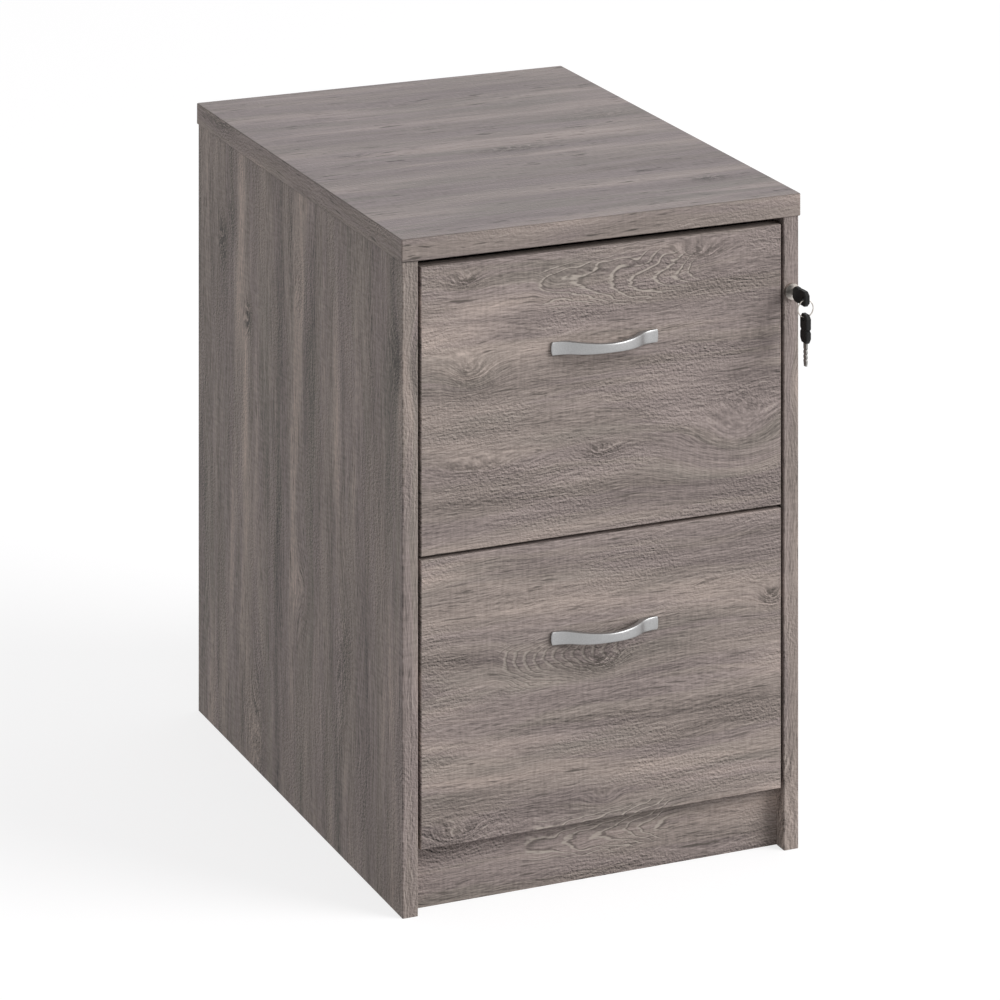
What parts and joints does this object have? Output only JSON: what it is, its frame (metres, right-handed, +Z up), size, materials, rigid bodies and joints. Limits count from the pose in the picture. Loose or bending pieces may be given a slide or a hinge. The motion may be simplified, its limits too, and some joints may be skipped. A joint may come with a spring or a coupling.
{
  "type": "filing cabinet",
  "caption": "Desk-high wood-effect filing cabinet with bow-handled drawers on full-extension runners and a keyed lock in the side panel's edge.",
  "frame": {"origin": "on the floor, under the middle of the whole cabinet with its handles and keys", "axes": "+X to the cabinet's right as seen from the front, -Y to its front, +Z up"},
  "size_m": [0.48, 0.6962, 0.73],
  "materials": {
    "oak_top": "wood-effect melamine board, weathered grey oak, grain along X",
    "oak_sides": "wood-effect melamine board, weathered grey oak, upright grain",
    "oak_fronts": "wood-effect melamine board, weathered grey oak, grain along X",
    "inner_boards": "plain pale grey melamine board",
    "handle_metal": "satin silver",
    "zinc_steel": "zinc plated",
    "runner_steel": "zinc-plated sheet",
    "cage_plastic": "moulded",
    "rail_plastic": "extruded",
    "lock_chrome": "polished",
    "key_steel": "nickel plated",
    "key_plastic": "moulded black"
  },
  "bodies": {
    "carcass": {"top_panel": "oak_top", "left_side_panel": "oak_sides", "right_side_panel": "oak_sides", "back_panel": "inner_boards", "base_panel": "inner_boards", "front_plinth": "oak_fronts", "cam_bolts": "zinc_steel", "cam_discs": "zinc_steel", "top_left_outer_runner": "runner_steel", "top_right_outer_runner": "runner_steel", "bottom_left_outer_runner": "runner_steel", "bottom_right_outer_runner": "runner_steel", "lock_housing": "lock_chrome", "lock_bar_guides": "zinc_steel"},
    "top_drawer": {"top_drawer_front": "oak_fronts", "top_drawer_left_side": "inner_boards", "top_drawer_right_side": "inner_boards", "top_drawer_back": "inner_boards", "top_drawer_bottom": "inner_boards", "top_handle": "handle_metal", "top_handle_screws": "zinc_steel", "top_left_file_rail": "rail_plastic", "top_right_file_rail": "rail_plastic", "top_left_inner_runner": "runner_steel", "top_right_inner_runner": "runner_steel", "top_lock_catch": "zinc_steel"},
    "top_mid_runners": {"top_left_mid_runner": "runner_steel", "top_right_mid_runner": "runner_steel"},
    "top_outer_cages": {"top_outer_ball_cages": "cage_plastic"},
    "top_inner_cages": {"top_inner_ball_cages": "cage_plastic"},
    "bottom_drawer": {"bottom_drawer_front": "oak_fronts", "bottom_drawer_left_side": "inner_boards", "bottom_drawer_right_side": "inner_boards", "bottom_drawer_back": "inner_boards", "bottom_drawer_bottom": "inner_boards", "bottom_handle": "handle_metal", "bottom_handle_screws": "zinc_steel", "bottom_left_file_rail": "rail_plastic", "bottom_right_file_rail": "rail_plastic", "bottom_left_inner_runner": "runner_steel", "bottom_right_inner_runner": "runner_steel", "bottom_lock_catch": "zinc_steel"},
    "bottom_mid_runners": {"bottom_left_mid_runner": "runner_steel", "bottom_right_mid_runner": "runner_steel"},
    "bottom_outer_cages": {"bottom_outer_ball_cages": "cage_plastic"},
    "bottom_inner_cages": {"bottom_inner_ball_cages": "cage_plastic"},
    "lock_core": {"lock_plug": "lock_chrome", "lock_cam": "zinc_steel"},
    "lock_bar": {"lock_bar": "zinc_steel", "lock_studs": "zinc_steel"},
    "key": {"key_blade": "key_steel", "key_head": "key_plastic"},
    "key_ring": {"key_ring": "key_steel"},
    "spare_key": {"spare_key_blade": "key_steel", "spare_key_head": "key_plastic"}
  },
  "joints": [
    {"name": "top_drawer_slide", "type": "slide", "parent": "carcass", "child": "top_drawer", "axis": [0, -1, 0], "range_m": [0, 0.54]},
    {"name": "top_mid_runners_slide", "type": "slide", "parent": "carcass", "child": "top_mid_runners", "axis": [0, -1, 0], "range_m": [0, 0.27]},
    {"name": "top_outer_cages_slide", "type": "slide", "parent": "carcass", "child": "top_outer_cages", "axis": [0, -1, 0], "range_m": [0, 0.135]},
    {"name": "top_inner_cages_slide", "type": "slide", "parent": "carcass", "child": "top_inner_cages", "axis": [0, -1, 0], "range_m": [0, 0.405]},
    {"name": "bottom_drawer_slide", "type": "slide", "parent": "carcass", "child": "bottom_drawer", "axis": [0, -1, 0], "range_m": [0, 0.54]},
    {"name": "bottom_mid_runners_slide", "type": "slide", "parent": "carcass", "child": "bottom_mid_runners", "axis": [0, -1, 0], "range_m": [0, 0.27]},
    {"name": "bottom_outer_cages_slide", "type": "slide", "parent": "carcass", "child": "bottom_outer_cages", "axis": [0, -1, 0], "range_m": [0, 0.135]},
    {"name": "bottom_inner_cages_slide", "type": "slide", "parent": "carcass", "child": "bottom_inner_cages", "axis": [0, -1, 0], "range_m": [0, 0.405]},
    {"name": "lock_turn", "type": "hinge", "parent": "carcass", "child": "lock_core", "pos_m": [0.229, -0.3049, 0.622], "axis": [0, 1, 0], "range_deg": [0, 90]},
    {"name": "lock_bar_lift", "type": "slide", "parent": "carcass", "child": "lock_bar", "axis": [0, 0, 1], "range_m": [0, 0.00594]},
    {"name": "key_withdraw", "type": "slide", "parent": "lock_core", "child": "key", "axis": [0, -1, 0], "range_m": [0, 0.03]},
    {"name": "ring_swing", "type": "hinge", "parent": "key", "child": "key_ring", "pos_m": [0.229, -0.3397, 0.62063], "axis": [-1, 0, 0], "range_deg": [-20, 60]},
    {"name": "spare_key_hang", "type": "hinge", "parent": "key_ring", "child": "spare_key", "pos_m": [0.229, -0.3397, 0.61123], "axis": [0, 1, 0], "range_deg": [-90, 0]}
  ],
  "couplings": [
    {"joint": "top_mid_runners_slide", "follows": "top_drawer_slide", "ratio": 0.5},
    {"joint": "top_outer_cages_slide", "follows": "top_drawer_slide", "ratio": 0.25},
    {"joint": "top_inner_cages_slide", "follows": "top_drawer_slide", "ratio": 0.75},
    {"joint": "bottom_mid_runners_slide", "follows": "bottom_drawer_slide", "ratio": 0.5},
    {"joint": "bottom_outer_cages_slide", "follows": "bottom_drawer_slide", "ratio": 0.25},
    {"joint": "bottom_inner_cages_slide", "follows": "bottom_drawer_slide", "ratio": 0.75},
    {"joint": "lock_turn", "follows": "lock_bar_lift", "rad_per_m": 264.46},
    {"joint": "spare_key_hang", "follows": "lock_bar_lift", "rad_per_m": -264.46}
  ]
}
